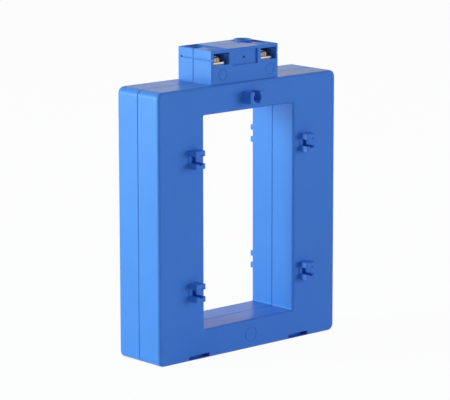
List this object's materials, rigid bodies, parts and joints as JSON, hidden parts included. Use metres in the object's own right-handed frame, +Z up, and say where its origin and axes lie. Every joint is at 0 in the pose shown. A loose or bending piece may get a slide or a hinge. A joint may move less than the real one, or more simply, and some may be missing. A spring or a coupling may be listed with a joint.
{
  "type": "current transformer",
  "caption": "Window current transformer: flat rectangular moulded housing with a tall busbar window, nut clips on both faces and a terminal tower on top.",
  "frame": {"origin": "centre of the underside on the parting plane of the two shells", "axes": "+Z up towards the terminal tower, -Y towards the front face seen in the picture, +X to the right seen from the front"},
  "size_m": [0.139, 0.0506, 0.1808],
  "materials": {
    "shell_blue": "moulded, semi-gloss",
    "core_steel": "strip-wound laminated steel",
    "bobbin_plastic": "moulded, matte",
    "winding_copper": "enamelled wire",
    "tape": "polyester tape",
    "lead_insulation": "extruded insulation",
    "bar_nickel": "nickel-plated",
    "plate_steel": "zinc-plated",
    "screw_steel": "nickel-plated",
    "plug_blue": "moulded, semi-gloss"
  },
  "bodies": {
    "housing": {"front_shell": "shell_blue", "rear_shell": "shell_blue", "core": "core_steel", "winding_link": "lead_insulation", "left_bobbin": "bobbin_plastic", "right_bobbin": "bobbin_plastic", "left_winding": "winding_copper", "right_winding": "winding_copper", "left_winding_tape": "tape", "right_winding_tape": "tape", "left_lead": "lead_insulation", "right_lead": "lead_insulation", "left_terminal_bar": "bar_nickel", "right_terminal_bar": "bar_nickel"},
    "front_left_clamp": {"front_left_clamp_plate": "plate_steel"},
    "front_left_screw": {"front_left_screw": "screw_steel"},
    "rear_left_clamp": {"rear_left_clamp_plate": "plate_steel"},
    "rear_left_screw": {"rear_left_screw": "screw_steel"},
    "front_right_clamp": {"front_right_clamp_plate": "plate_steel"},
    "front_right_screw": {"front_right_screw": "screw_steel"},
    "rear_right_clamp": {"rear_right_clamp_plate": "plate_steel"},
    "rear_right_screw": {"rear_right_screw": "screw_steel"},
    "seal_plug": {"seal_plug": "plug_blue"}
  },
  "joints": [
    {"name": "front_left_clamp_slide", "type": "slide", "parent": "housing", "child": "front_left_clamp", "axis": [0, 0, 1], "range_m": [0, 0.00175]},
    {"name": "front_left_screw_turn", "type": "hinge", "parent": "front_left_clamp", "child": "front_left_screw", "pos_m": [-0.0197, -0.0093, 0.17], "axis": [0, 0, 1], "range_deg": [0, 901]},
    {"name": "rear_left_clamp_slide", "type": "slide", "parent": "housing", "child": "rear_left_clamp", "axis": [0, 0, 1], "range_m": [0, 0.00175]},
    {"name": "rear_left_screw_turn", "type": "hinge", "parent": "rear_left_clamp", "child": "rear_left_screw", "pos_m": [-0.0197, 0.0067, 0.17], "axis": [0, 0, 1], "range_deg": [0, 901]},
    {"name": "front_right_clamp_slide", "type": "slide", "parent": "housing", "child": "front_right_clamp", "axis": [0, 0, 1], "range_m": [0, 0.00175]},
    {"name": "front_right_screw_turn", "type": "hinge", "parent": "front_right_clamp", "child": "front_right_screw", "pos_m": [0.0171, -0.0093, 0.17], "axis": [0, 0, 1], "range_deg": [0, 901]},
    {"name": "rear_right_clamp_slide", "type": "slide", "parent": "housing", "child": "rear_right_clamp", "axis": [0, 0, 1], "range_m": [0, 0.00175]},
    {"name": "rear_right_screw_turn", "type": "hinge", "parent": "rear_right_clamp", "child": "rear_right_screw", "pos_m": [0.0171, 0.0067, 0.17], "axis": [0, 0, 1], "range_deg": [0, 901]},
    {"name": "seal_plug_pull", "type": "slide", "parent": "housing", "child": "seal_plug", "axis": [0, 0, 1], "range_m": [0, 0.005]}
  ],
  "couplings": [
    {"joint": "front_left_screw_turn", "follows": "front_left_clamp_slide", "rad_per_m": 8976},
    {"joint": "rear_left_screw_turn", "follows": "rear_left_clamp_slide", "rad_per_m": 8976},
    {"joint": "front_right_screw_turn", "follows": "front_right_clamp_slide", "rad_per_m": 8976},
    {"joint": "rear_right_screw_turn", "follows": "rear_right_clamp_slide", "rad_per_m": 8976}
  ]
}
